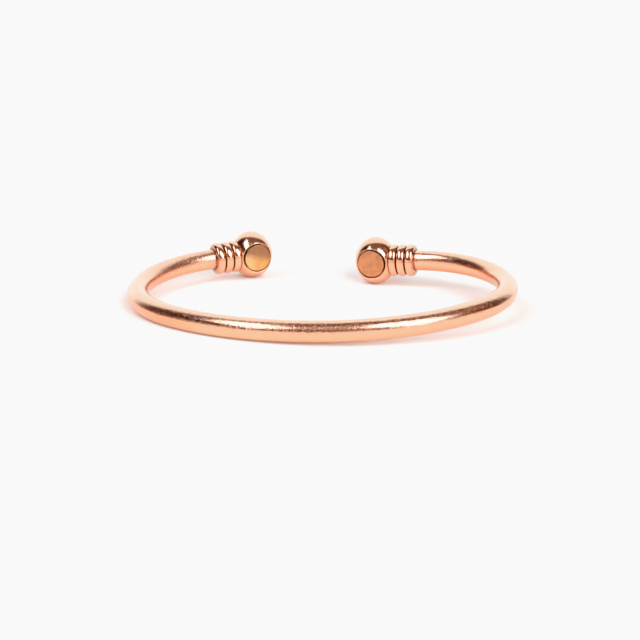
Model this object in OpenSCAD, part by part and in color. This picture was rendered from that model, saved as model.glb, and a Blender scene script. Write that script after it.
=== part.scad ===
// Magnetic bracelet: an open bangle bent from one round copper rod.
// Each end of the rod is sleeved into a terminal of three rounded rings and a
// slightly flattened ball, and each ball holds a flat magnet disc that faces
// the wrist. The bangle lies on its side on the plane z = 0, touching it at
// the front of the rod and under both balls.
// Millimetres. +X runs across the bangle, +Y from the closed front to the gap.

/* [Rod] */
// Diameter of the round copper rod
rod_d = 4; // [3.6:0.1:4.2]

/* [Terminals] */
// Diameter of each ball, across the rod's axis
ball_d = 9.5; // [9.2:0.1:10.4]
// Length of each ball, along the rod's axis
ball_len = 8.3; // [8:0.1:8.6]
// Outer diameter of the rounded rings
ring_d = 6.4; // [6.2:0.1:6.8]
// Distance from one ring to the next
ring_pitch = 1.75; // [1.7:0.05:1.85]
// Rounding of each ring's two edges
ring_round = 0.6; // [0.4:0.05:0.65]
// How deep the rod's end sits in the terminal
socket_depth = 4; // [3:0.1:4.4]
// Gap round the rod's end in its socket
socket_gap = 0.06; // [0.04:0.01:0.1]

/* [Magnets] */
// Diameter of the magnet disc
magnet_d = 5.4; // [4.8:0.1:5.6]
// Thickness of the magnet disc
magnet_t = 2; // [1:0.1:2.2]
// Gap round and behind the disc in its pocket
pocket_gap = 0.16; // [0.08:0.02:0.2]
// Distance from the ball's centre to the disc's face
face_h = 3.7; // [3.6:0.05:3.9]
// Bevel round the disc's face
magnet_bevel = 0.12; // [0.05:0.01:0.2]

/* [Hidden] */

// The rod's bends, from the middle of the front to each end.
// columns: radius of the centreline, angle swept, turn of the bending plane
RIGHT_ARM = [[36, 49.5, 0], [21.5, 85.5, 0], [24, 29.7, -5]];
LEFT_ARM = [[43, 43.5, 0], [25, 86, 0], [20, 25, 0]];
// How each disc faces. columns: turn about the rod's axis, lean to the tip
RIGHT_FACE = [6, 2];
LEFT_FACE = [0, 0];
// How the bangle leans as it rests on the front of the rod and both balls
REST = [3.1, -1.9, -1.5];

rod_r = rod_d / 2;
// Two bends meet in a ball a hair thicker than the rod, which covers the
// small angle left open between them
knuckle_r = rod_r + 0.02;
open_angle = 0.1;
ring_n = 3;
// The first ring's middle, and the ball's middle, seen from the rod's end face
ball_at = 8;
first_ring = 3.9;
terminal_len = first_ring + (ring_n - 1) * ring_pitch + ring_pitch / 2;

// The ball's outline is an oval of four tangent arcs: a small arc round the
// equator, and a large one over each pole.
oval_a = ball_d / 2;
oval_b = ball_len / 2;
side_r = oval_b - 0.4;
side_c = oval_a - side_r;
pole_r = (side_c * side_c + oval_b * oval_b - side_r * side_r) / (2 * (oval_b - side_r));
pole_c = pole_r - oval_b;
join_x = pole_r * side_c / (pole_r - side_r);

// 4 x 4 frames: turns about X, Y and Z, and a shift
function turn_x(a) = [[1, 0, 0, 0], [0, cos(a), -sin(a), 0], [0, sin(a), cos(a), 0], [0, 0, 0, 1]];
function turn_y(a) = [[cos(a), 0, sin(a), 0], [0, 1, 0, 0], [-sin(a), 0, cos(a), 0], [0, 0, 0, 1]];
function turn_z(a) = [[cos(a), -sin(a), 0, 0], [sin(a), cos(a), 0, 0], [0, 0, 1, 0], [0, 0, 0, 1]];
function shift(x, y, z) = [[1, 0, 0, x], [0, 1, 0, y], [0, 0, 1, z], [0, 0, 0, 1]];

// Frame at angle a along one bend of radius r: X along the rod, Y to the centre
function bend(r, a) = shift(r * sin(a), r * (1 - cos(a)), 0) * turn_z(a);
// Frame where row i of an arm starts, with that row's own turn applied
function arm_frame(rows, m, i) =
    i == 0 ? m * turn_x(rows[0][2])
           : arm_frame(rows, m, i - 1) * bend(rows[i - 1][0], rows[i - 1][1]) * turn_x(rows[i][2]);
function arm_end(rows, m) =
    arm_frame(rows, m, len(rows) - 1) * bend(rows[len(rows) - 1][0], rows[len(rows) - 1][1]);
// Frames at small steps along an arm
function arm_steps(rows, m) =
    [for (i = [0 : len(rows) - 1]) for (k = [0 : 48])
        arm_frame(rows, m, i) * bend(rows[i][0], rows[i][1] * k / 48)];

// The bangle as it leans, before it is set down on its origin
LEAN = turn_z(REST[2]) * turn_y(REST[1]) * turn_x(REST[0]);
STEPS = concat(arm_steps(RIGHT_ARM, LEAN), arm_steps(LEFT_ARM, LEAN * turn_y(180)));
BALLS = [arm_end(RIGHT_ARM, LEAN) * shift(ball_at, 0, 0),
         arm_end(LEFT_ARM, LEAN * turn_y(180)) * shift(ball_at, 0, 0)];
// Lowest and highest reach of the rod and the balls along world axis k
function rod_reach(s, k) = rod_r * sqrt(1 - s[k][0] * s[k][0]);
function ball_reach(b, k) = side_c * sqrt(1 - b[k][0] * b[k][0]) + side_r;
function low(k) = min(concat([for (s = STEPS) s[k][3] - rod_reach(s, k)],
                             [for (b = BALLS) b[k][3] - ball_reach(b, k)]));
function high(k) = max(concat([for (s = STEPS) s[k][3] + rod_reach(s, k)],
                              [for (b = BALLS) b[k][3] + ball_reach(b, k)]));
// The origin is the middle of the footprint, on the surface it lies on
PLACE = shift(-(low(0) + high(0)) / 2, -(low(1) + high(1)) / 2, -low(2)) * LEAN;
LEFT_START = PLACE * turn_y(180);
LEFT_END = arm_end(LEFT_ARM, LEFT_START);
RIGHT_END = arm_end(RIGHT_ARM, PLACE);

// The bends of one arm, each a piece of a torus, with a knuckle after each and
// then the straight end that sits in a terminal
module arm(rows, m) {
    for (i = [0 : len(rows) - 1]) {
        multmatrix(arm_frame(rows, m, i)) {
            translate([0, rows[i][0], 0]) rotate([0, 0, -90 + open_angle])
                rotate_extrude(angle = rows[i][1] - 2 * open_angle, $fn = 180)
                    translate([rows[i][0], 0]) circle(r = rod_r, $fn = 48);
            multmatrix(bend(rows[i][0], rows[i][1])) sphere(r = knuckle_r, $fn = 48);
        }
    }
    multmatrix(arm_end(rows, m)) translate([0.05, 0, 0]) rotate([0, 90, 0])
        cylinder(r = rod_r, h = socket_depth - 0.05, $fn = 48);
}

// Half of the ball's outline, right of the axis
module oval_half() {
    intersection() {
        union() {
            translate([side_c, 0]) circle(r = side_r, $fn = 96);
            intersection() {
                translate([0, -pole_c]) circle(r = pole_r, $fn = 96);
                translate([0, pole_c]) circle(r = pole_r, $fn = 96);
                translate([0, -oval_b]) square([join_x, 2 * oval_b]);
            }
        }
        translate([0, -oval_b]) square([oval_a, 2 * oval_b]);
    }
}

// One ring's outline: a bar with both outer edges rounded
module ring_half() {
    flat = ring_pitch / 2 - ring_round;
    for (s = [-1, 1]) translate([ring_d / 2 - ring_round, s * flat]) circle(r = ring_round, $fn = 48);
    translate([ring_d / 2 - 2 * ring_round, -flat]) square([2 * ring_round, 2 * flat]);
    translate([rod_r + socket_gap, -ring_pitch / 2])
        square([ring_d / 2 - ring_round - rod_r - socket_gap, ring_pitch]);
}

// A terminal, with its tip along +X of frame m and its disc facing +Y
module terminal(m, face) {
    multmatrix(m * shift(ball_at, 0, 0)) difference() {
        rotate([0, -90, 0]) rotate_extrude($fn = 96) union() {
            oval_half();
            for (i = [0 : ring_n - 1]) translate([0, first_ring + i * ring_pitch]) ring_half();
        }
        // socket for the rod's end
        translate([-ball_at - 1, 0, 0]) rotate([0, 90, 0])
            cylinder(r = rod_r + socket_gap, h = 1 + socket_depth + 2 * socket_gap, $fn = 64);
        // pocket for the magnet
        multmatrix(turn_x(face[0]) * turn_z(-face[1]))
            translate([0, face_h - magnet_t - pocket_gap, 0]) rotate([-90, 0, 0])
                cylinder(r = magnet_d / 2 + pocket_gap, h = oval_a, $fn = 64);
    }
}

// The magnet disc, its face bevelled at the edge
module magnet(m, face) {
    multmatrix(m * shift(ball_at, 0, 0) * turn_x(face[0]) * turn_z(-face[1]))
        translate([0, face_h - magnet_t, 0]) rotate([-90, 0, 0]) {
            rotate_extrude($fn = 64) polygon([[0, 0], [magnet_d / 2, 0],
                [magnet_d / 2, magnet_t - magnet_bevel], [magnet_d / 2 - magnet_bevel, magnet_t], [0, magnet_t]]);
        }
}

module bangle_rod() {
    color([0.86, 0.55, 0.40]) union() {
        multmatrix(PLACE) sphere(r = knuckle_r, $fn = 48);
        arm(RIGHT_ARM, PLACE);
        arm(LEFT_ARM, LEFT_START);
    }
}
module left_terminal() { color([0.84, 0.52, 0.38]) terminal(LEFT_END, LEFT_FACE); }
module right_terminal() { color([0.84, 0.52, 0.38]) terminal(RIGHT_END, RIGHT_FACE); }
module left_magnet() { color([0.80, 0.58, 0.38]) magnet(LEFT_END, LEFT_FACE); }
module right_magnet() { color([0.80, 0.58, 0.38]) magnet(RIGHT_END, RIGHT_FACE); }

bangle_rod();
left_terminal();
right_terminal();
left_magnet();
right_magnet();
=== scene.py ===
import bpy
import bmesh
import math
import numpy as np
from mathutils import Matrix, Vector


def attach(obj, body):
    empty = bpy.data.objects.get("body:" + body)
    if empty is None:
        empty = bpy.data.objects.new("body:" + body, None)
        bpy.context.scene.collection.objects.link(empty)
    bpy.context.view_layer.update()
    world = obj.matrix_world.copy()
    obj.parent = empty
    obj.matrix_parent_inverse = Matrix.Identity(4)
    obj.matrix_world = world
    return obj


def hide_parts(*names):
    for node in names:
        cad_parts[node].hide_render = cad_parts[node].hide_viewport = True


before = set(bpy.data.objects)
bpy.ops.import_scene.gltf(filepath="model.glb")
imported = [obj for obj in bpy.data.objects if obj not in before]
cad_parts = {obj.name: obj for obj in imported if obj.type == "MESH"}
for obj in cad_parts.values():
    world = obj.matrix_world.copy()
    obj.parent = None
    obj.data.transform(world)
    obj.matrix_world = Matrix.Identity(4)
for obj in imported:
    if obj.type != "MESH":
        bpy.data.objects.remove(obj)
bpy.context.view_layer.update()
scene = bpy.context.scene

# ---------------------------------------------------------------- sizes, mm
ROD_R = 2.0
BALL_A = 4.75            # ball, across the rod's axis
BALL_B = 4.15            # ball, along the rod's axis
BALL_AT = 8.0            # ball's middle from the rod's last bend
RING_R = 3.2
RING_DEEP = 0.86         # how far a groove goes in
RING_PITCH = 1.75
FIRST_RING = 3.9
RING_N = 3
POCKET_R = 2.90
POCKET_FLOOR = 1.54
FACE_H = 3.7
MAGNET_R = 2.70
MAGNET_T = 2.0

# radius of the centreline, angle swept, turn of the bending plane
RIGHT_ARM = [(36, 49.5, 0), (21.5, 85.5, 0), (24, 29.7, -5)]
LEFT_ARM = [(43, 43.5, 0), (25, 86, 0), (20, 25, 0)]
REST = (3.1, -1.9, -1.5)
RIGHT_FACE = (6, 2)
LEFT_FACE = (0, 0)


# ---------------------------------------------------------------- frames
def turn(axis, deg):
    return np.array(Matrix.Rotation(math.radians(deg), 4, axis), float)


def shift(x, y, z):
    m = np.eye(4)
    m[:3, 3] = (x, y, z)
    return m


def bend(r, deg):
    a = math.radians(deg)
    return shift(r * math.sin(a), r * (1 - math.cos(a)), 0) @ turn("Z", deg)


def arm_frames(rows, start, n):
    """Frames along an arm, n to a bend, and the frame at its end."""
    m, out = start.copy(), []
    for r, sweep, twist in rows:
        m = m @ turn("X", twist)
        out += [m @ bend(r, sweep * k / n) for k in range(n)]
        m = m @ bend(r, sweep)
    return out, m


LEAN = turn("Z", REST[2]) @ turn("Y", REST[1]) @ turn("X", REST[0])


def place():
    """The lean, set down so that the origin is the middle of the footprint."""
    steps, balls = [], []
    for rows, start in ((RIGHT_ARM, LEAN), (LEFT_ARM, LEAN @ turn("Y", 180))):
        f, end = arm_frames(rows, start, 96)
        steps += f + [end]
        balls.append(end @ shift(BALL_AT, 0, 0))
    lo, hi = [], []
    for k in range(3):
        rod = [(s[k, 3], ROD_R * math.sqrt(max(0, 1 - s[k, 0] ** 2))) for s in steps]
        ball = [(b[k, 3], 1.0 * math.sqrt(max(0, 1 - b[k, 0] ** 2)) + 3.75) for b in balls]
        lo.append(min(c - r for c, r in rod + ball))
        hi.append(max(c + r for c, r in rod + ball))
    return shift(-(lo[0] + hi[0]) / 2, -(lo[1] + hi[1]) / 2, -lo[2]) @ LEAN


PLACE = place()
LEFT_START = PLACE @ turn("Y", 180)


# ---------------------------------------------------------------- rod
def centreline(step=0.25, sigma=1.8):
    """Points of the rod's centreline from the left end to the right, with the
    change from one bend to the next eased over a few millimetres."""
    tang, s_at = [], []
    for rows, start, sign in ((LEFT_ARM, LEFT_START, -1), (RIGHT_ARM, PLACE, 1)):
        m, s, t_here, s_here = start.copy(), 0.0, [], []
        for r, sweep, twist in rows:
            m = m @ turn("X", twist)
            length = r * math.radians(sweep)
            n = max(2, int(length / 0.05))
            for k in range(n):
                f = m @ bend(r, sweep * k / n)
                t_here.append(sign * f[:3, 0])
                s_here.append(sign * (s + length * k / n))
            m = m @ bend(r, sweep)
            s += length
        for k in range(0, 90):
            t_here.append(sign * m[:3, 0])
            s_here.append(sign * (s + k * 0.05))
        tang += t_here[::sign] if sign > 0 else t_here[::-1]
        s_at += s_here if sign > 0 else s_here[::-1]
        if sign < 0:
            left_end, left_s = m.copy(), s
        else:
            right_end, right_s = m.copy(), s
    s_at, tang = np.array(s_at), np.array(tang)
    s = np.arange(-left_s - 3.7, right_s + 3.7 + 1e-9, 0.05)
    t = np.stack([np.interp(s, s_at, tang[:, k]) for k in range(3)], 1)

    def ease(rows, width):
        half = int(4 * width / 0.05)
        kernel = np.exp(-0.5 * (np.arange(-half, half + 1) * 0.05 / width) ** 2)
        kernel /= kernel.sum()
        padded = np.concatenate([np.repeat(rows[:1], half, 0), rows, np.repeat(rows[-1:], half, 0)])
        return np.stack([np.convolve(padded[:, k], kernel, "valid") for k in range(3)], 1)

    def walk(t):
        return np.concatenate([np.zeros((1, 3)), np.cumsum((t[1:] + t[:-1]) * 0.025, 0)])

    eased = ease(t, sigma)
    eased /= np.linalg.norm(eased, axis=1)[:, None]
    exact, p = walk(t), walk(eased)
    # the eased line is drawn back onto the exact one wherever it has strayed
    p -= ease(p - exact, 7.0)
    p += (left_end @ np.array([3.7, 0, 0, 1]))[:3] - exact[0]
    keep = np.linspace(0, len(s) - 1, int((s[-1] - s[0]) / step) + 1).astype(int)
    return s[keep], p[keep], left_end, right_end


S_LINE, P_LINE, LEFT_END, RIGHT_END = centreline()


def new_mesh(name, verts, faces, smooth_angle=None):
    mesh = bpy.data.meshes.new(name)
    mesh.from_pydata([tuple(v) for v in np.asarray(verts) * 0.001], [], faces)
    mesh.update()
    obj = bpy.data.objects.new(name, mesh)
    scene.collection.objects.link(obj)
    mesh.shade_smooth()
    if smooth_angle:
        mesh.set_sharp_from_angle(angle=math.radians(smooth_angle))
    return obj


def rod_object():
    n_round = 72
    p = P_LINE
    t = np.gradient(p, axis=0)
    t /= np.linalg.norm(t, axis=1)[:, None]
    u = np.cross((0, 0, 1.0), t[0])
    u /= np.linalg.norm(u)
    verts, ring_u = [], []
    for i in range(len(p)):
        u = u - t[i] * (u @ t[i])
        u /= np.linalg.norm(u)
        v = np.cross(t[i], u)
        ring_u.append((u, v))
        for k in range(n_round):
            a = 2 * math.pi * k / n_round
            verts.append(p[i] + ROD_R * (math.cos(a) * u + math.sin(a) * v))
    faces = []
    n = len(p)
    for i in range(n - 1):
        for k in range(n_round):
            a, b = i * n_round + k, i * n_round + (k + 1) % n_round
            faces.append((a, a + n_round, b + n_round, b))
    c0, c1 = len(verts), len(verts) + 1
    verts += [p[0], p[-1]]
    for k in range(n_round):
        a, b = k, (k + 1) % n_round
        faces.append((c0, a, b))
        a, b = (n - 1) * n_round + k, (n - 1) * n_round + (k + 1) % n_round
        faces.append((c1, b, a))
    obj = new_mesh("rod", verts, faces, 40)
    # painted shade along the underside of the front, where it lies on things: a dark line standing in for the
    # contact shadow that the underside mirrors
    v = np.array(verts[:n * n_round])
    nz = (v - np.repeat(p, n_round, axis=0))[:, 2] / ROD_R
    t = np.clip((-nz - 0.69) / 0.11, 0, 1) * np.clip((0.965 + nz) / 0.05, 0, 1)
    t = t * np.clip((14 - v[:, 0]) / 12, 0, 1) * np.clip((-2 - v[:, 1]) / 8, 0, 1)
    tarnish_and_shade = obj.data.attributes.new("tarnish_and_shade", "FLOAT", "POINT")
    tarnish_and_shade.data.foreach_set("value", np.append(0.60 * t, (0, 0)).astype(np.float32))
    return obj


# ---------------------------------------------------------------- terminals
def ball_radius(w, axis):
    """Distance from the ball's middle to its surface along unit vectors w."""
    c2 = np.clip((w @ axis) ** 2, 0, 1)
    return 1 / np.sqrt((1 - c2) / BALL_A ** 2 + c2 / BALL_B ** 2)


def ball_mesh(centre, axis, face):
    """The ball as a closed shell with its pocket, in rings round the pocket's
    own axis. face has the disc's normal as its second column."""
    n, e1, e2 = face[:3, 1], face[:3, 0], face[:3, 2]
    n_turn, n_down, n_fillet, soft = 192, 88, 6, 0.13
    phi = np.arange(n_turn) * 2 * math.pi / n_turn
    side = np.cos(phi)[:, None] * e1 + np.sin(phi)[:, None] * e2
    rings = []

    def at(theta):
        w = np.cos(theta)[:, None] * n + np.sin(theta)[:, None] * side
        return ball_radius(w, axis)

    def theta_for(rho):
        lo, hi = np.full(n_turn, 0.05), np.full(n_turn, 1.4)
        for _ in range(50):
            mid = (lo + hi) / 2
            big = at(mid) * np.sin(mid) > rho
            hi, lo = np.where(big, mid, hi), np.where(big, lo, mid)
        return (lo + hi) / 2

    th = theta_for(np.full(n_turn, POCKET_R))
    rim_h = at(th) * np.cos(th)
    d = 1e-4
    dr = (at(th + d) * np.sin(th + d) - at(th - d) * np.sin(th - d)) / (2 * d)
    dh = (at(th + d) * np.cos(th + d) - at(th - d) * np.cos(th - d)) / (2 * d)
    k = np.hypot(dr, dh)
    tr, tz = dr / k, dh / k
    c_rho = POCKET_R + soft
    c_h = rim_h - soft * (1 - tz) / tr

    def ring(rho, h):
        rings.append(centre + np.asarray(h)[:, None] * n + np.asarray(rho)[:, None] * side)

    full = np.full(n_turn, 1.0)
    ring(full * POCKET_R * 0.5, full * POCKET_FLOOR)
    ring(full * POCKET_R, full * POCKET_FLOOR)
    ring(full * POCKET_R, (c_h + POCKET_FLOOR) / 2)
    # round the rim from the wall (pointing in) to the ball's own slope
    a0 = math.pi
    a1 = np.arctan2(tr, -tz)
    for j in range(n_fillet + 1):
        a = a0 + (a1 - a0) * j / n_fillet
        ring(c_rho + soft * np.cos(a), c_h + soft * np.sin(a))
    end_rho = c_rho + soft * np.cos(a1)
    th0 = theta_for(end_rho)
    for j in range(1, n_down):
        w = j / n_down
        th = th0 + (math.pi - th0) * w
        r = at(th)
        ring(r * np.sin(th), r * np.cos(th))
    verts = np.concatenate(rings)
    n_ring = len(rings)
    first, last = len(verts), len(verts) + 1
    r_back = ball_radius(-n[None, :], axis)[0]
    verts = np.concatenate([verts, [centre + POCKET_FLOOR * n], [centre - r_back * n]])
    faces = []
    for i in range(n_ring - 1):
        for k in range(n_turn):
            a, b = i * n_turn + k, i * n_turn + (k + 1) % n_turn
            faces.append((a, b, b + n_turn, a + n_turn))
    for k in range(n_turn):
        faces.append((first, (k + 1) % n_turn, k))
        a = (n_ring - 1) * n_turn
        faces.append((last, a + k, a + (k + 1) % n_turn))
    return verts, faces


def ring_profile():
    """(radius, distance from the ball's middle) round the rings' half outline."""
    pts = [(1.2, 2.95), (2.2, 2.95), (2.5, 3.0)]
    half = RING_PITCH / 2
    power = 2.6
    for i in range(RING_N):
        mid = FIRST_RING + i * RING_PITCH
        steps = 22
        for j in range(steps + 1):
            if i and j == 0:
                continue
            a = math.pi * j / steps
            x, y = -math.cos(a), math.sin(a)
            x = math.copysign(abs(x) ** (2 / power), x)
            y = abs(y) ** (2 / power)
            pts.append((RING_R - RING_DEEP + RING_DEEP * y, mid + half * x))
    end = FIRST_RING + (RING_N - 0.5) * RING_PITCH
    pts += [(2.3, end), (2.09, end), (2.04, end - 0.05), (2.04, 6.0), (2.04, 4.3)]
    return pts


def rings_mesh(centre, axis, up):
    n_turn = 192
    side = np.cross(axis, up)
    side /= np.linalg.norm(side)
    up = np.cross(side, axis)
    phi = np.arange(n_turn) * 2 * math.pi / n_turn
    w = np.cos(phi)[:, None] * up + np.sin(phi)[:, None] * side
    pts = ring_profile()
    verts = np.concatenate([centre - d * axis + r * w for r, d in pts])
    first, last = len(verts), len(verts) + 1
    verts = np.concatenate([verts, [centre - pts[0][1] * axis], [centre - pts[-1][1] * axis]])
    faces = []
    for i in range(len(pts) - 1):
        for k in range(n_turn):
            a, b = i * n_turn + k, i * n_turn + (k + 1) % n_turn
            faces.append((a, a + n_turn, b + n_turn, b))
    for k in range(n_turn):
        faces.append((first, k, (k + 1) % n_turn))
        a = (len(pts) - 1) * n_turn
        faces.append((last, a + (k + 1) % n_turn, a + k))
    return verts, faces


def outward(obj):
    bm = bmesh.new()
    bm.from_mesh(obj.data)
    bmesh.ops.recalc_face_normals(bm, faces=bm.faces)
    open_edges = sum(1 for e in bm.edges if len(e.link_faces) != 2)
    bm.to_mesh(obj.data)
    bm.free()
    return open_edges


def terminal_object(name, end, lean):
    ball = end @ shift(BALL_AT, 0, 0)
    face = ball @ turn("X", lean[0]) @ turn("Z", -lean[1])
    centre, axis = ball[:3, 3], ball[:3, 0]
    a = new_mesh(name, *ball_mesh(centre, axis, face))
    b = new_mesh(name + "_rings", *rings_mesh(centre, axis, ball[:3, 2]))
    for o in (a, b):
        left_open = outward(o)
        if left_open:
            print("OPEN EDGES", o.name, left_open)
    m = a.modifiers.new("join", "BOOLEAN")
    m.operation, m.solver, m.object = "UNION", "EXACT", b
    dg = bpy.context.evaluated_depsgraph_get()
    made = bpy.data.meshes.new_from_object(a.evaluated_get(dg))
    a.modifiers.clear()
    old, a.data = a.data, made
    bpy.data.meshes.remove(old)
    made.name = name
    bpy.data.objects.remove(b)
    bm = bmesh.new()
    bm.from_mesh(made)
    bmesh.ops.remove_doubles(bm, verts=bm.verts, dist=2e-7)
    bmesh.ops.dissolve_degenerate(bm, edges=bm.edges, dist=1e-7)
    open_edges = sum(1 for e in bm.edges if len(e.link_faces) != 2)
    print("TERMINAL", name, "faces", len(bm.faces), "open edges", open_edges)
    bm.to_mesh(made)
    bm.free()
    made.shade_smooth()
    made.set_sharp_from_angle(angle=math.radians(34))
    # how far each point is down in a groove, for the tarnish there
    co = np.empty(len(made.vertices) * 3)
    made.vertices.foreach_get("co", co)
    off = co.reshape(-1, 3) * 1000 - centre
    down = -(off @ axis)
    out = np.linalg.norm(off + down[:, None] * axis, axis=1)
    t = np.clip(((RING_R - out) / RING_DEEP - 0.17) / 0.36, 0, 1) * (down > 3.9) * (down < 7.8)
    t = np.maximum(t, 0.62 * np.exp(-((down - 3.28) / 0.17) ** 2) * (out < 3.12))
    t = np.maximum(t, np.clip((2.55 - out) / 0.3, 0, 1) * (down > 7.8) * (down < 8.4))
    t = np.maximum(t, 0.34 * np.clip((3.08 - out) / 0.2, 0, 1) * (down > 7.9) * (down < 8.4))
    # and painted shade: a thin dark line round the mouth of the pocket, standing in for the shadow in the gap round
    # the disc
    high = off @ face[:3, 1]
    wide = np.linalg.norm(off - high[:, None] * face[:3, 1], axis=1)
    rim = 0.36 if name == "terminal_left" else 0.62
    t = np.maximum(t, rim * np.clip((3.06 - wide) / 0.13, 0, 1) * (high > 1.0))
    tarnish_and_shade = made.attributes.new("tarnish_and_shade", "FLOAT", "POINT")
    tarnish_and_shade.data.foreach_set("value", (t * t * (3 - 2 * t)).astype(np.float32))
    return a, face


def magnet_object(name, face):
    """A disc, very slightly crowned, with a soft bevel, in its pocket."""
    n, e1, e2, c = face[:3, 1], face[:3, 0], face[:3, 2], face[:3, 3]
    n_turn = 160
    bevel, crown = 0.14, 0.035
    top = FACE_H
    flat = MAGNET_R - bevel
    pts = [(flat * k / 14, top - crown * (k / 14) ** 2) for k in range(1, 15)]
    base = top - crown
    for j in range(1, 7):
        a = math.pi / 2 * (1 - j / 6)
        pts.append((flat + bevel * math.cos(a), base - bevel + bevel * math.sin(a)))
    pts += [(MAGNET_R, top - 1.0), (MAGNET_R, top - MAGNET_T), (MAGNET_R * 0.5, top - MAGNET_T)]
    phi = np.arange(n_turn) * 2 * math.pi / n_turn
    side = np.cos(phi)[:, None] * e1 + np.sin(phi)[:, None] * e2
    verts = np.concatenate([c + h * n + r * side for r, h in pts])
    first, last = len(verts), len(verts) + 1
    verts = np.concatenate([verts, [c + top * n], [c + (top - MAGNET_T) * n]])
    faces = []
    for i in range(len(pts) - 1):
        for k in range(n_turn):
            a, b = i * n_turn + k, i * n_turn + (k + 1) % n_turn
            faces.append((a, b, b + n_turn, a + n_turn))
    for k in range(n_turn):
        faces.append((first, (k + 1) % n_turn, k))
        a = (len(pts) - 1) * n_turn
        faces.append((last, a + k, a + (k + 1) % n_turn))
    obj = new_mesh(name, verts, faces)
    outward(obj)
    obj.data.shade_smooth()
    obj.data.set_sharp_from_angle(angle=math.radians(34))
    return obj


rod = rod_object()
outward(rod)
left_end, left_face = terminal_object("terminal_left", LEFT_END, LEFT_FACE)
right_end, right_face = terminal_object("terminal_right", RIGHT_END, RIGHT_FACE)
left_disc = magnet_object("magnet_left", left_face)
right_disc = magnet_object("magnet_right", right_face)


# ---------------------------------------------------------------- materials
class Graph:
    """Short names for adding nodes to a node tree."""

    def __init__(self, tree):
        self.tree, self.nodes, self.links = tree, tree.nodes, tree.links

    def put(self, socket, value):
        if isinstance(value, bpy.types.NodeSocket):
            self.links.new(value, socket)
        else:
            socket.default_value = value

    def add(self, kind, **props):
        n = self.nodes.new(kind)
        for k, v in props.items():
            setattr(n, k, v)
        return n

    def math(self, op, a, b=None, c=None, clamp=False):
        n = self.add("ShaderNodeMath", operation=op, use_clamp=clamp)
        for i, v in enumerate((a, b, c)):
            if v is not None:
                self.put(n.inputs[i], v)
        return n.outputs[0]

    def steps(self, value, lo, hi, out_lo=0.0, out_hi=1.0, how="SMOOTHSTEP"):
        n = self.add("ShaderNodeMapRange", interpolation_type=how)
        self.put(n.inputs["Value"], value)
        self.put(n.inputs["From Min"], lo)
        self.put(n.inputs["From Max"], hi)
        self.put(n.inputs["To Min"], out_lo)
        self.put(n.inputs["To Max"], out_hi)
        return n.outputs["Result"]

    def noise(self, vector, scale, detail=2.0, rough=0.5, out="Fac"):
        n = self.add("ShaderNodeTexNoise")
        self.put(n.inputs["Vector"], vector)
        n.inputs["Scale"].default_value = scale
        n.inputs["Detail"].default_value = detail
        n.inputs["Roughness"].default_value = rough
        return n.outputs[out]

    def mix(self, fac, a, b, blend="MIX"):
        n = self.add("ShaderNodeMix", data_type="RGBA", blend_type=blend)
        self.put(n.inputs[0], fac)
        self.put(n.inputs[6], a if isinstance(a, bpy.types.NodeSocket) else (*a, 1))
        self.put(n.inputs[7], b if isinstance(b, bpy.types.NodeSocket) else (*b, 1))
        return n.outputs[2]

    def bump(self, height, strength, distance, normal=None):
        n = self.add("ShaderNodeBump")
        n.inputs["Strength"].default_value = strength
        n.inputs["Distance"].default_value = distance
        self.put(n.inputs["Height"], height)
        if normal is not None:
            self.put(n.inputs["Normal"], normal)
        return n.outputs[0]


def material(name):
    m = bpy.data.materials.new(name)
    m.use_nodes = True
    g = Graph(m.node_tree)
    p = m.node_tree.nodes["Principled BSDF"]
    obj = g.add("ShaderNodeTexCoord").outputs["Object"]
    return m, g, p, obj


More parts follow.
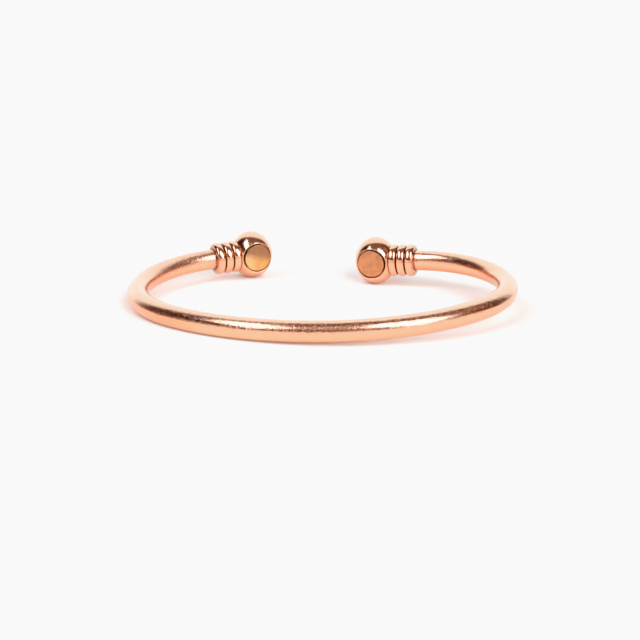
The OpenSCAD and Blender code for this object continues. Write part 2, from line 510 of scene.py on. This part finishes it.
def copper(name, fine, rough_lo, rough_hi, painted_reflection_and_dull_polish=False):
    """Polished copper: fine pitting and a slight waviness from buffing, small
    differences of tone, and a polish that is duller in patches."""
    m, g, p, at = material(name)
    tone = g.noise(at, 260.0, 3.0, 0.6)
    fleck = g.noise(at, 5200.0, 2.0, 0.6)
    base = g.mix(g.steps(tone, 0.3, 0.7), (0.985, 0.505, 0.312), (0.990, 0.530, 0.336))
    base = g.mix(g.steps(fleck, 0.62, 0.80, 0.0, 0.35), base, (0.78, 0.34, 0.20))
    if painted_reflection_and_dull_polish:
        # painted reflection: a redder tone low on the left bend and under the right arm, standing in for the
        # copper-lit table that they mirror
        x, y, z = g.add("ShaderNodeSeparateXYZ").outputs
        g.links.new(at, x.node.inputs[0])
        left = g.math("MULTIPLY", g.steps(x, -0.0200, -0.0280), g.steps(z, 0.0034, 0.0018, 0.0, 0.45))
        right = g.math("MULTIPLY", g.steps(x, 0.0130, 0.0210), g.steps(y, -0.0030, 0.0040))
        right = g.math("MULTIPLY", right, g.steps(z, 0.0052, 0.0038, 0.0, 0.80))
        base = g.mix(g.math("MAXIMUM", left, right), base, (0.985, 0.370, 0.170))
    else:
        # painted shade: a darker, redder tone under each ball, where it lies on things, standing in for the contact
        # shadow that its underside mirrors
        x, y, z = g.add("ShaderNodeSeparateXYZ").outputs
        g.links.new(at, x.node.inputs[0])
        base = g.mix(g.steps(z, 0.0017, 0.0003, 0.0, 0.65), base, (0.700, 0.270, 0.130))
    # tarnish left in the grooves, and painted shade along the rod's underside and round the pockets' mouths
    tarnish_and_shade = g.add("ShaderNodeAttribute", attribute_name="tarnish_and_shade").outputs["Fac"]
    base = g.mix(g.math("MULTIPLY", tarnish_and_shade, 0.92), base, (0.250, 0.105, 0.052))
    g.put(p.inputs["Base Color"], base)
    p.inputs["Metallic"].default_value = 1.0
    patch = g.noise(at, 420.0, 3.0, 0.6)
    rough = g.steps(patch, 0.3, 0.7, rough_lo, rough_hi, "LINEAR")
    if painted_reflection_and_dull_polish:
        # dull specks all over, and a duller polish on the left arm
        specks = g.steps(g.noise(at, 4200.0, 1.0, 0.5), 0.52, 0.62, 0.0, 0.25)
        worn = g.math("MULTIPLY", g.steps(x, -0.0170, -0.0240), g.steps(y, 0.0030, 0.0110, 0.0, 0.16))
        rough = g.math("ADD", g.math("MAXIMUM", rough, specks), worn)
    g.put(p.inputs["Roughness"], rough)
    wave = g.noise(at, 300.0, 1.0, 0.4)
    pitted = g.noise(at, 3300.0, 1.5, 0.55)
    pits = g.steps(g.noise(at, 4000.0, 1.0, 0.5), 0.60, 0.70)
    n = g.bump(wave, 1.0, 0.000012)
    n = g.bump(pitted, 1.0, fine, n)
    n = g.bump(pits, 1.0, fine * 0.24, n)
    g.put(p.inputs["Normal"], n)
    return m


def plated(name, low, high, rough, painted_reflection=None):
    """Satin plating on a magnet: cloudy tone and a fine grain, and, given the last argument, painted reflection:
    a duller tone over the disc's upper part and a paler one low on one side."""
    m, g, p, at = material(name)
    cloud = g.noise(at, 750.0, 4.0, 0.65)
    base = g.mix(g.steps(cloud, 0.35, 0.65), low, high)
    if painted_reflection:
        # painted reflection: the disc's upper part darker and browner, mirroring the dark room, and a paler patch
        # low on one side, mirroring the bright floor
        x, _, z = g.add("ShaderNodeSeparateXYZ").outputs
        g.links.new(at, x.node.inputs[0])
        cx, cz = (painted_reflection[1][:3, 3] + FACE_H * painted_reflection[1][:3, 1])[[0, 2]] * 0.001
        up = g.math("MULTIPLY_ADD", g.math("SUBTRACT", x, float(cx)), 0.25, g.math("SUBTRACT", z, float(cz)))
        up = g.math("MULTIPLY_ADD", g.math("SUBTRACT", cloud, 0.5), 0.0010, up)
        side = g.math("MULTIPLY_ADD", g.math("SUBTRACT", cloud, 0.5), 0.0010, g.math("SUBTRACT", x, float(cx)))
        base = g.mix(g.steps(side, 0.0004, -0.0018), base, painted_reflection[2])
        base = g.mix(g.steps(up, -0.0010, 0.0011), base, painted_reflection[0])
    g.put(p.inputs["Base Color"], base)
    p.inputs["Metallic"].default_value = 1.0
    g.put(p.inputs["Roughness"], g.steps(g.noise(at, 2500.0, 2.0), 0.3, 0.7, rough - 0.05, rough + 0.05, "LINEAR"))
    g.put(p.inputs["Normal"], g.bump(g.noise(at, 5000.0, 2.0), 1.0, 0.000004))
    return m


rod_copper = copper("copper_rod", 0.000045, 0.075, 0.105, painted_reflection_and_dull_polish=True)
end_copper = copper("copper_terminal", 0.000010, 0.11, 0.16)
# the left disc's last argument is painted reflection: darker over its upper part, paler low on one side
left_plate = plated("plate_left", (0.82, 0.37, 0.12), (0.88, 0.46, 0.17), 0.30, ((0.44, 0.211, 0.097), left_face, (0.94, 0.540, 0.245)))
right_plate = plated("plate_right", (0.65, 0.256, 0.118), (0.79, 0.321, 0.149), 0.30)
for o, m in ((rod, rod_copper), (left_end, end_copper), (right_end, end_copper),
             (left_disc, left_plate), (right_disc, right_plate)):
    o.data.materials.clear()
    o.data.materials.append(m)

for o, node, slot in ((rod, "bangle_rod", "copper_rod"), (left_end, "left_terminal", "copper_terminal"),
                      (right_end, "right_terminal", "copper_terminal"), (left_disc, "left_magnet", "magnet_face"),
                      (right_disc, "right_magnet", "magnet_face")):
    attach(o, "root")
    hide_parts(node)


# ---------------------------------------------------------------- floor
FLOOR = (0.860, 0.860, 0.870)
FLOOR_GLOW = 0.10        # the table is lit a little from below
OVER = 1.15              # how far the white table is overexposed


def floor_object():
    bm = bmesh.new()
    bmesh.ops.create_circle(bm, cap_ends=True, segments=96, radius=4.0)
    mesh = bpy.data.meshes.new("floor")
    bm.to_mesh(mesh)
    bm.free()
    o = bpy.data.objects.new("floor", mesh)
    scene.collection.objects.link(o)
    m, g, p, at = material("paper")
    g.put(p.inputs["Base Color"], g.mix(g.noise(at, 40.0, 2.0), FLOOR, tuple(c * 0.995 for c in FLOOR)))
    p.inputs["Roughness"].default_value = 0.9
    p.inputs["Specular IOR Level"].default_value = 0.0
    p.inputs["Emission Color"].default_value = (1.0, 1.0, 1.0, 1)
    p.inputs["Emission Strength"].default_value = FLOOR_GLOW
    mesh.materials.append(m)
    return o


floor = floor_object()

# ---------------------------------------------------------------- camera
F_PX, SIZE = 1679.6, 640.0


def make_camera():
    dist, el, roll = 0.3155, math.radians(13.0), math.radians(0.39)
    pivot = Vector((0.0017436, -0.0038188, 0.003032))
    px, py = 330.48, 295.56
    back = Vector((0, -math.cos(el), math.sin(el)))
    c = pivot + dist * back
    fwd, right = -back, Vector((1, 0, 0))
    up = right.cross(fwd)
    a = math.atan((px - SIZE / 2) / F_PX)
    b = math.atan((py - SIZE / 2) / F_PX)
    f1 = math.cos(a) * fwd - math.sin(a) * right
    r1 = math.cos(a) * right + math.sin(a) * fwd
    f2 = math.cos(b) * f1 + math.sin(b) * up
    u2 = math.cos(b) * up - math.sin(b) * f1
    r3 = math.cos(roll) * r1 + math.sin(roll) * u2
    u3 = math.cos(roll) * u2 - math.sin(roll) * r1
    cam = bpy.data.cameras.new("camera")
    cam.sensor_width = 36.0
    cam.lens = F_PX * 36.0 / SIZE
    cam.clip_start, cam.clip_end = 0.01, 50
    o = bpy.data.objects.new("camera", cam)
    m = Matrix.Identity(4)
    for i, axis in enumerate((r3, u3, -f2)):
        for j in range(3):
            m[j][i] = axis[j]
    for j in range(3):
        m[j][3] = c[j]
    o.matrix_world = m
    scene.collection.objects.link(o)
    scene.camera = o
    return o


camera = make_camera()

# ---------------------------------------------------------------- light
# The copper mirrors a small white studio, given by direction: across and away
# are degrees from straight overhead, across to +X and away to +Y.
DARK = (0.045, 0.014, 0.010)
ROOM = (0.202, 0.146, 0.122)
ROOM_MID = (0.450, 0.390, 0.370)
ROOM_RIGHT = (0.140, 0.076, 0.054)
ROOM_STRIPE = (0.640, 0.600, 0.590)
ROOM_LOW = (0.280, 0.175, 0.130)
ROOM_SIDE = (0.275, 0.152, 0.094)
ROOM_WARM = (0.410, 0.212, 0.102)
DARK_LOW = (0.150, 0.062, 0.030)
SWEEP = (1.080, 1.270, 1.430)
TABLE_EDGE = (0.98, 1.02, 1.06)
SOFTBOX = (3.30, 3.90, 4.60)
BOUNCE = (2.30, 2.15, 2.05)      # what the copper throws on to the table
# columns: across from, to, away from, to, lean of the sides, lean of the ends
BOXES = [(-45.5, -25, -46, -4, 0.0, -0.58), (16, 61, -54, -20, 0.0, 0.10)]


def studio():
    world = bpy.data.worlds.new("studio")
    scene.world = world
    world.use_nodes = True
    g = Graph(world.node_tree)
    for n in list(g.nodes):
        g.nodes.remove(n)
    xyz = g.add("ShaderNodeSeparateXYZ")
    g.links.new(g.add("ShaderNodeTexCoord").outputs["Generated"], xyz.inputs[0])
    x, y, z = xyz.outputs
    zen = g.math("MULTIPLY", g.math("ARCCOSINE", g.math("MINIMUM", g.math("MAXIMUM", z, -1.0), 1.0)), 57.29578)
    flat = g.math("MAXIMUM", g.math("SQRT", g.math("ADD", g.math("MULTIPLY", x, x), g.math("MULTIPLY", y, y))), 1e-5)
    across = g.math("DIVIDE", g.math("MULTIPLY", zen, x), flat)
    away = g.math("DIVIDE", g.math("MULTIPLY", zen, y), flat)

    def oval(cx, cy, rx, ry, inner):
        u = g.math("DIVIDE", g.math("SUBTRACT", across, cx), rx)
        v = g.math("DIVIDE", g.math("SUBTRACT", away, cy), ry)
        r = g.math("SQRT", g.math("ADD", g.math("MULTIPLY", u, u), g.math("MULTIPLY", v, v)))
        return g.steps(r, 1.0, inner)

    # the room beyond the lamps
    room = g.mix(g.steps(away, -30.0, -52.0), ROOM, ROOM_LOW)
    room = g.mix(oval(-4, -43, 30, 25, 0.45), room, ROOM_MID)
    room = g.mix(g.steps(across, 38.0, 54.0), room, ROOM_RIGHT)
    room = g.mix(oval(-3, -33, 24, 8, 0.2), room, ROOM_STRIPE)
    room = g.mix(oval(54, -36, 22, 28, 0.3), room, ROOM_SIDE)
    dark = g.mix(g.steps(zen, 62.0, 76.0), DARK, DARK_LOW)
    colour = g.mix(oval(0, -20, 52, 66, 0.55), dark, room)
    colour = g.mix(oval(52, 1, 21, 18, 0.3), colour, ROOM_WARM)
    # white paper sweep behind, up to a little short of overhead
    edge = g.math("SUBTRACT", away, g.math("MULTIPLY_ADD", g.math("MULTIPLY", across, across), 0.0092, 13.5))
    wide = g.math("MULTIPLY_ADD", g.math("ABSOLUTE", across), 0.16, 4.0)
    colour = g.mix(g.steps(edge, g.math("MULTIPLY", wide, -1.0), wide), colour, SWEEP)
    # the pale table beyond the camera, low down
    low = g.math("MULTIPLY", g.steps(zen, 78.5, 84.0), g.steps(away, 5.0, -25.0))
    colour = g.mix(low, colour, TABLE_EDGE)
    for x0, x1, y0, y1, lean_x, lean_y in BOXES:
        mx, my, soft = (x0 + x1) / 2, (y0 + y1) / 2, 2.0
        u = g.math("SUBTRACT", across, g.math("MULTIPLY_ADD", g.math("SUBTRACT", away, my), lean_x, mx))
        v = g.math("SUBTRACT", away, g.math("MULTIPLY_ADD", g.math("SUBTRACT", across, mx), -lean_y, my))
        inside = g.math("MULTIPLY",
                        g.steps(g.math("ABSOLUTE", u), (x1 - x0) / 2 + soft, (x1 - x0) / 2 - soft),
                        g.steps(g.math("ABSOLUTE", v), (y1 - y0) / 2 + soft, (y1 - y0) / 2 - soft))
        colour = g.mix(inside, colour, SOFTBOX)
    path = g.add("ShaderNodeLightPath")
    colour = g.mix(g.math("GREATER_THAN", path.outputs["Diffuse Depth"], 0.5), colour, BOUNCE)
    lit = g.add("ShaderNodeBackground")
    g.put(lit.inputs[0], colour)
    plain = g.add("ShaderNodeBackground")
    plain.inputs[0].default_value = (0.94 * OVER, 0.94 * OVER, 0.95 * OVER, 1)
    both = g.add("ShaderNodeMixShader")
    g.links.new(path.outputs["Is Camera Ray"], both.inputs[0])
    g.links.new(lit.outputs[0], both.inputs[1])
    g.links.new(plain.outputs[0], both.inputs[2])
    out = g.add("ShaderNodeOutputWorld")
    g.links.new(both.outputs[0], out.inputs[0])
    world.cycles_visibility.diffuse = False
    return world


studio()

# The floor has the same lamps again as soft suns, so that it is equally bright
# all over. columns: direction, spread in degrees, share of the floor's light
LAMPS = [("lamp_left", (-0.596, -0.392, 0.700), 38, 0.19),
         ("lamp_right", (0.549, -0.549, 0.629), 38, 0.145),
         ("lamp_over", (0.0, 0.25, 1.0), 120, 0.31),
         ("lamp_front", (0.30, -0.89, 0.34), 34, 0.20)]


def lamp(name, direction, spread, share):
    v = Vector(direction).normalized()
    data = bpy.data.lights.new(name, "SUN")
    data.energy = math.pi * share * OVER / (v.z * FLOOR[0])
    data.angle = math.radians(spread)
    o = bpy.data.objects.new(name, data)
    o.rotation_mode = "QUATERNION"
    o.rotation_quaternion = v.to_track_quat("Z", "Y")
    o.location = v
    o.visible_glossy = False
    o.visible_camera = False
    scene.collection.objects.link(o)


for row in LAMPS:
    lamp(*row)


def develop():
    """Plain view, with a shoulder that brings the bright table to a soft white."""
    view = scene.view_settings
    view.view_transform = "Standard"
    view.use_curve_mapping = True
    cm = view.curve_mapping
    cm.extend = "HORIZONTAL"
    cm.use_clip = True
    cm.clip_min_x, cm.clip_min_y, cm.clip_max_x, cm.clip_max_y = 0, 0, 2, 1
    for curve, top in ((cm.curves[0], 0.957), (cm.curves[1], 0.952), (cm.curves[2], 0.962)):
        curve.points[0].location = (0, 0)
        curve.points[1].location = (2.0, top + 0.03)
        for x, y in ((0.2, 0.2), (0.4, 0.4), (0.6, 0.6), (0.8, 0.8), (0.94, 0.935), (1.06, top - 0.003), (1.3, top)):
            curve.points.new(x, y)
        for pt in curve.points:
            pt.handle_type = "AUTO_CLAMPED"
    cm.update()


develop()
